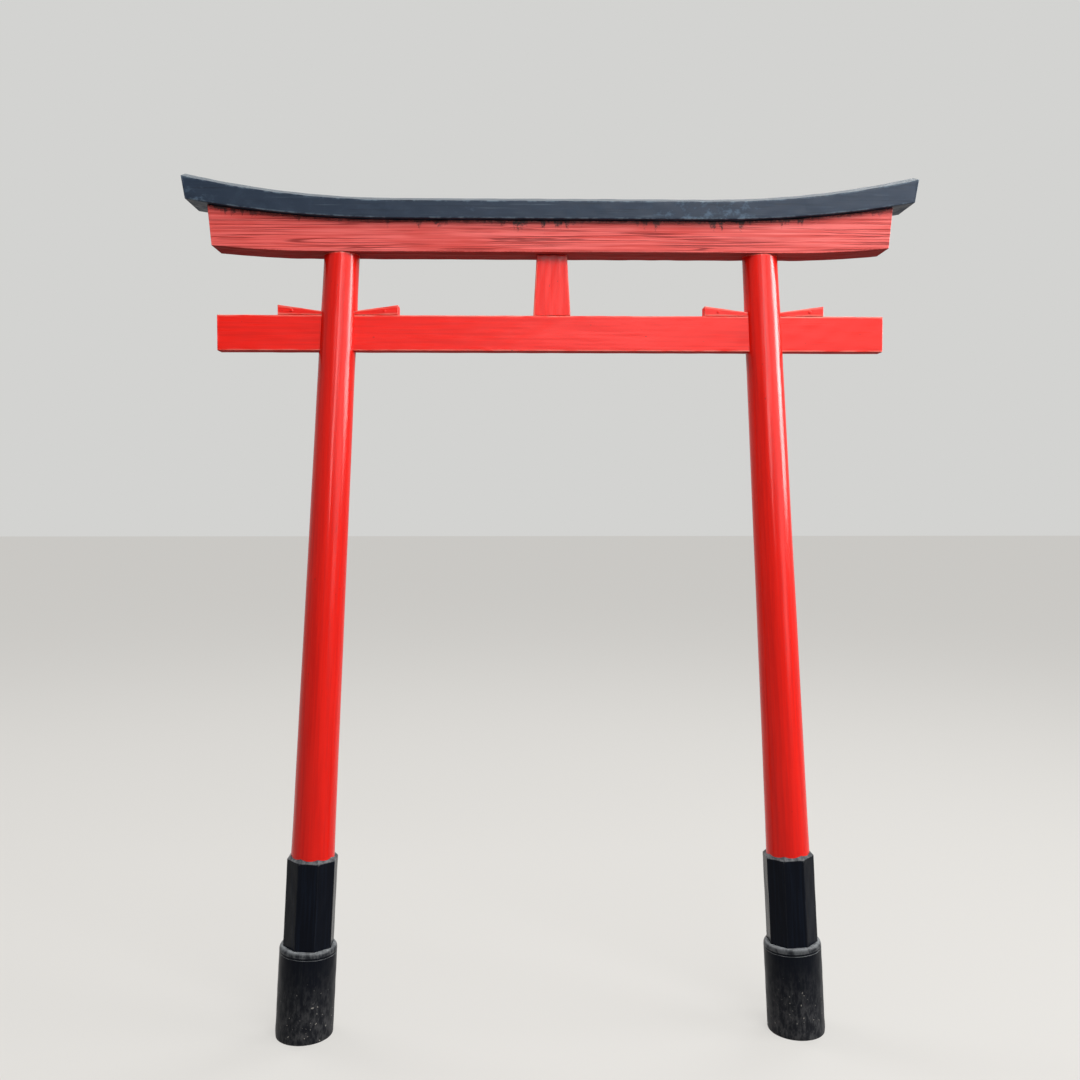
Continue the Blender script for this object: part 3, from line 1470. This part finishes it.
@dataclass
class RootCollar(LeaningTimber):
    """The round collar at the ground, with a rounded bead for a rim, a groove under it and a socket."""

    radius: float = 79.98 * MM
    height: float = 256 * MM
    foot_ease: tuple[float, float] = (1.5 * MM, 6 * MM)  # how far in its foot is eased, and how far up
    wall_rows: int = 34
    groove_gap: float = 2 * MM  # from the wall's last ring up to the groove
    groove_drop: float = 18 * MM
    groove: tuple[tuple[float, float], ...] = (  # how far in and how far up each of its points lies
        (0.0, 0.0), (0.4 * MM, 0.2 * MM), (1.5 * MM, 0.9 * MM),
        (1.5 * MM, 1.6 * MM), (0.4 * MM, 2.3 * MM), (0.0, 2.5 * MM))
    bead_height: float = 13 * MM
    bead_width: float = 8 * MM
    bead_rows: int = 9
    bore: float = 60.3 * MM
    socket_sides: int = 8
    socket_reach: float = 66.3 * MM
    socket_drops: tuple[float, ...] = (0.0, 12 * MM, 40 * MM)  # of its rings, from the collar's top
    columns: int = 128
    wave_depth: float = 0.7 * MM
    wave_lengths: tuple[float, float] = (90 * MM, 60 * MM)
    bead_wear: float = 0.75
    edge_wear: tuple[float, float] = (0.8, 2 * MM)  # under the bead: how strong, and how far it spreads
    sharp: float = math.radians(35)

    def profile(self) -> tuple[Array, Array, Mask, Mask]:
        """The collar's outline, from the bottom of its bore, out, up and back down the socket.

        Formula: the bead is a quarter of an ellipse, from the top of the wall in to the level rim.

        Returns:
            For each ring: its radius, its height along the axis, whether it lies on the ground, and whether
            it follows the socket.
        """
        inward, upward = np.array(self.groove).T
        wall_top = self.height - self.groove_drop - upward[-1]
        ease_in, ease_up = self.foot_ease
        wall = np.linspace(ease_up, wall_top - self.groove_gap, self.wall_rows)
        turn = np.linspace(0.0, math.pi / 2, self.bead_rows)
        drops = np.array(self.socket_drops)
        radius = np.concatenate(([self.bore, self.radius - ease_in], np.full_like(wall, self.radius),
                                 self.radius - inward, self.radius - self.bead_width * (1 - np.cos(turn)),
                                 np.full_like(drops, self.socket_reach), [self.bore]))
        level = np.concatenate(([0.0, 0.0], wall, wall_top + upward,
                                self.height - self.bead_height * (1 - np.sin(turn)),
                                self.height - drops, [self.height - drops[-1]]))
        number = np.arange(len(radius))
        from_last = len(radius) - 1 - number
        return radius, level, number < 2, (from_last >= 1) & (from_last <= len(drops))

    def skin(self) -> Skin:
        """Turn the profile about the leaning axis.

        Formula: where a ring follows the socket, its radius is the flats' distance over the cosine of the
        angle from the nearest flat's middle. Rings on the ground lie in the ground's plane, so their height
        along the axis is the sideways distance times the tangent of the lean, negated.

        Returns:
            The collar's surface.
        """
        radius, level, grounded, follows = self.profile()
        angle = np.linspace(0.0, 2 * math.pi, self.columns, endpoint=False)
        sector = 2 * math.pi / self.socket_sides
        from_flat = np.mod(angle + sector / 2, sector) - sector / 2
        socket = self.socket_reach / np.cos(from_flat)
        ring = np.where(follows[:, None], socket, radius[:, None])
        x = ring * np.cos(angle)
        y = ring * np.sin(angle)
        along = np.where(grounded[:, None], -self.side.value * x * math.tan(self.lean), level[:, None])
        wave = self.wave_depth * swell(along, angle * self.radius, self.wave_lengths, self.seed)
        wall = (radius > self.radius - self.bead_width) & ~grounded & ~follows
        scale = 1 - np.where(wall[:, None], wave, 0.0) / ring
        bead_foot = self.height - self.bead_height
        strength, spread = self.edge_wear
        edge = strength * np.exp(-np.abs(level - bead_foot) / spread)
        arris = np.where(level > bead_foot, self.bead_wear, edge)[:, None] * np.ones_like(ring)
        points = self.place(x * scale, y * scale, along)
        return Skin(points, self.own_grain(along, x, y), arris, self.height - along, torus=True)


# Sub-assemblies


@dataclass
class Foot:
    """A post's black foot: the round collar and the eight boards that stand in it."""

    side: Side
    boards: int = 8

    def build(self) -> list[bpy.types.Object]:
        """Build the collar and the boards.

        Returns:
            Their objects.
        """
        side = self.side
        pieces = [RootCollar(f"root_collar_{side.label}", COLLAR_BLACK, seed=300 + side.number, side=side)]
        pieces += [SleeveBoard(f"sleeve_board_{side.label}_{number + 1}", SLEEVE_BLACK,
                               seed=320 + 20 * side.number + number, side=side, number=number)
                   for number in range(self.boards)]
        return [piece.build() for piece in pieces]


@dataclass
class Stand:
    """One post with its foot and its two wedges, each nailed from both faces."""

    side: Side
    nail_along: float = 0.54  # of the way from the wedge's middle to its free end
    nail_up: float = 0.42  # of the way up the wedge's thick end

    def build(self) -> list[bpy.types.Object]:
        """Build the post, its foot, its wedges and their nails.

        Returns:
            Their objects.
        """
        side = self.side
        pieces = [Post(f"post_{side.label}", POLE_ENAMEL, seed=100 + 7 * side.number, side=side).build()]
        pieces += Foot(side).build()
        for reach in Reach:
            seed = 140 + 10 * side.number + reach.value
            wedge = Wedge(f"wedge_{side.label}_{reach.label}", BOARD_ENAMEL, seed, side=side, reach=reach)
            pieces.append(wedge.build())
            pieces += self.nails(wedge)
        return pieces

    def nails(self, wedge: Wedge) -> list[bpy.types.Object]:
        """Put one nail head on the front and one on the back of a wedge, near its thick end.

        Args:
            wedge: The wedge.

        Returns:
            The nail heads' objects.
        """
        low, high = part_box(wedge.name)
        outward = wedge.side.value * wedge.reach.value
        x = (low.x + high.x) / 2 + outward * self.nail_along * (high.x - low.x) / 2
        z = low.z + self.nail_up * (high.z - low.z)
        return [NailHead(f"nail_{wedge.name}_{face}", BOARD_ENAMEL, seed=wedge.seed + 60, at=(x, y, z),
                         outward=(0.0, way, 0.0)).build()
                for face, y, way in (("front", low.y, -1.0), ("back", high.y, 1.0))]


@dataclass
class Top:
    """What joins the posts: the tie beam, the strut and the two lintels."""

    def build(self) -> list[bpy.types.Object]:
        """Build the four timbers, and the nails in the lower lintel's ends.

        Returns:
            Their objects.
        """
        lintel = LowerLintel("lower_lintel", LINTEL_ENAMEL, seed=31)
        pieces = [TieBeam("tie_beam", BOARD_ENAMEL, seed=11),
                  CentreStrut("centre_strut", BOARD_ENAMEL, seed=23),
                  lintel, UpperLintel("upper_lintel", SLATE, seed=47)]
        pieces += [NailHead(f"nail_lintel_{side.label}", LINTEL_ENAMEL, seed=80 + side.value,
                            **lintel.end_nail(side)) for side in Side]
        return [piece.build() for piece in pieces]


# The studio


@dataclass(frozen=True)
class Softbox:
    """A rectangular soft light that hangs round the gate and faces it."""

    name: str
    bearing: float  # degrees from the camera's side, to the right
    distance: float  # from the gate's middle, in metres, as are the next three
    height: float
    width: float
    tall: float
    power: float  # watts
    gloss_only: bool = False  # shows in the gloss and adds nothing to the level
    aim: float = 1.2  # height of the point it faces

    def build(self) -> bpy.types.Object:
        """Hang the light.

        Returns:
            Its object.
        """
        lamp = bpy.data.lights.new(self.name, "AREA")
        lamp.shape = "RECTANGLE"
        lamp.size = self.width
        lamp.size_y = self.tall
        lamp.energy = self.power
        light = bpy.data.objects.new(self.name, lamp)
        turn = math.radians(self.bearing)
        light.location = (self.distance * math.sin(turn), -self.distance * math.cos(turn), self.height)
        towards = Vector((0.0, 0.0, self.aim)) - light.location
        light.rotation_euler = towards.to_track_quat("-Z", "Y").to_euler()
        light.visible_diffuse = not self.gloss_only
        bpy.context.scene.collection.objects.link(light)
        return light


@dataclass
class Studio:
    """A plain pale floor, an even pale background and soft lights."""

    floor_half: float = 40.0
    floor_colour: str = "#D9D7D3"
    floor_bounce: str = "#6A6663"  # what the floor gives back to the gate, so that its undersides stay deep
    shadow_share: float = 0.22  # how much of the floor's look comes from the light that falls on it
    background: str = "#D3D3D1"
    sky: float = 0.31
    lights: tuple[Softbox, ...] = (
        Softbox("strip_right", 82.0, 4.5, 3.3, 1.9, 3.4, 340.0, gloss_only=True),
        Softbox("side_right", 78.0, 4.6, 3.4, 2.4, 2.4, 140.0),
        Softbox("front_high", 25.0, 4.2, 5.0, 3.2, 2.0, 225.0),
        Softbox("halo_right", 82.0, 5.0, 3.3, 3.2, 3.8, 150.0, gloss_only=True),
        Softbox("fill_right", 47.0, 5.5, 2.6, 3.0, 4.6, 125.0, gloss_only=True),
        Softbox("narrow_front", 4.0, 6.5, 2.7, 0.8, 2.6, 58.0, gloss_only=True),
        Softbox("narrow_right", 24.0, 6.0, 2.9, 0.5, 2.4, 21.0, gloss_only=True),
        Softbox("patch_right", 14.0, 6.5, 3.0, 1.5, 1.4, 36.0, gloss_only=True),
        Softbox("patch_left", -13.0, 6.5, 2.9, 1.3, 0.9, 12.0, gloss_only=True),
        Softbox("back_left", -125.0, 4.4, 6.2, 2.6, 2.0, 160.0),
        Softbox("back_right", 135.0, 4.4, 6.2, 2.6, 2.0, 160.0),
        Softbox("overhead", 0.0, 0.3, 5.8, 3.5, 3.5, 100.0))

    def build(self) -> None:
        """Build the floor, the background and the lights."""
        self.build_floor()
        self.build_world()
        for light in self.lights:
            light.build()

    def shown(self, tree: Tree) -> Socket:
        """Tell rays that show the room from light that falls on the gate.

        Args:
            tree: The nodes of the floor or the world.

        Returns:
            1 for rays from the camera, from gloss and through glass, and 0 for other light.
        """
        camera = add_node(tree, "LightPath", output="Is Camera Ray")
        glossy = add_node(tree, "LightPath", output="Is Glossy Ray")
        through = add_node(tree, "LightPath", output="Is Transmission Ray")
        first = add_node(tree, "Math", {0: camera, 1: glossy}, operation="MAXIMUM")
        return add_node(tree, "Math", {0: first, 1: through}, operation="MAXIMUM")

    def build_floor(self) -> None:
        """Lay the floor, which looks evenly pale, keeps the gate's shadow and bounces less than it shows."""
        mesh = bpy.data.meshes.new("floor")
        reach = self.floor_half
        corners = [(-reach, -reach, 0.0), (reach, -reach, 0.0), (reach, reach, 0.0), (-reach, reach, 0.0)]
        mesh.from_pydata(corners, [], [(0, 1, 2, 3)])
        floor = bpy.data.objects.new("floor", mesh)
        bpy.context.scene.collection.objects.link(floor)
        material = bpy.data.materials.new("pale_floor")
        tree = empty_tree(material)
        even = add_node(tree, "Emission", {"Color": self.floor_colour, "Strength": 1.0})
        lit = add_node(tree, "BsdfDiffuse", {"Color": self.floor_colour})
        looks = add_node(tree, "MixShader", {0: self.shadow_share, 1: even, 2: lit})
        bounce = add_node(tree, "BsdfDiffuse", {"Color": self.floor_bounce})
        surface = add_node(tree, "MixShader", {0: self.shown(tree), 1: bounce, 2: looks})
        add_node(tree, "OutputMaterial", {"Surface": surface})
        mesh.materials.append(material)

    def build_world(self) -> None:
        """Light the room evenly, and show a pale background."""
        world = bpy.data.worlds.new("studio")
        bpy.context.scene.world = world
        tree = empty_tree(world)
        light = add_node(tree, "Background", {"Color": "#FFFFFF", "Strength": self.sky})
        backdrop = add_node(tree, "Background", {"Color": self.background, "Strength": 1.0})
        mix = add_node(tree, "MixShader", {0: self.shown(tree), 1: light, 2: backdrop})
        add_node(tree, "OutputWorld", {"Surface": mix})


@dataclass(frozen=True)
class PhotoCamera:
    """The photograph's view: a person's eye in the middle of the path, a wide lens held almost level."""

    lens: float = 36.7  # millimetres
    sensor: float = 36.0
    distance: float = 3.05
    height: float = 1.5
    bearing: float = math.radians(-1.2)  # stands a little left of the middle
    downward: float = math.radians(2.2)
    gate_right_of_middle: float = 32 * MM

    def build(self) -> bpy.types.Object:
        """Make the camera and give it to the scene.

        Returns:
            Its object.
        """
        data = bpy.data.cameras.new("photo_camera")
        data.sensor_width = self.sensor
        data.lens = self.lens
        camera = bpy.data.objects.new("photo_camera", data)
        camera.location = (self.distance * math.sin(self.bearing) - self.gate_right_of_middle,
                           -self.distance * math.cos(self.bearing), self.height)
        camera.rotation_euler = (math.pi / 2 - self.downward, 0.0, self.bearing)
        bpy.context.scene.collection.objects.link(camera)
        bpy.context.scene.camera = camera
        return camera


def main() -> None:
    """Build the camera, the studio and the gate, report each piece, and keep both boxes for comparison."""
    logging.basicConfig(level=logging.INFO, format="%(message)s")
    bpy.context.scene.view_settings.view_transform = "Standard"
    PhotoCamera().build()
    Studio().build()
    for assembly in (Stand(Side.LEFT), Stand(Side.RIGHT), Top()):
        for piece in assembly.build():
            log.info("%s: %d faces in %s", piece.name, len(piece.data.polygons), piece.active_material.name)


if __name__ == "__main__":
    main()
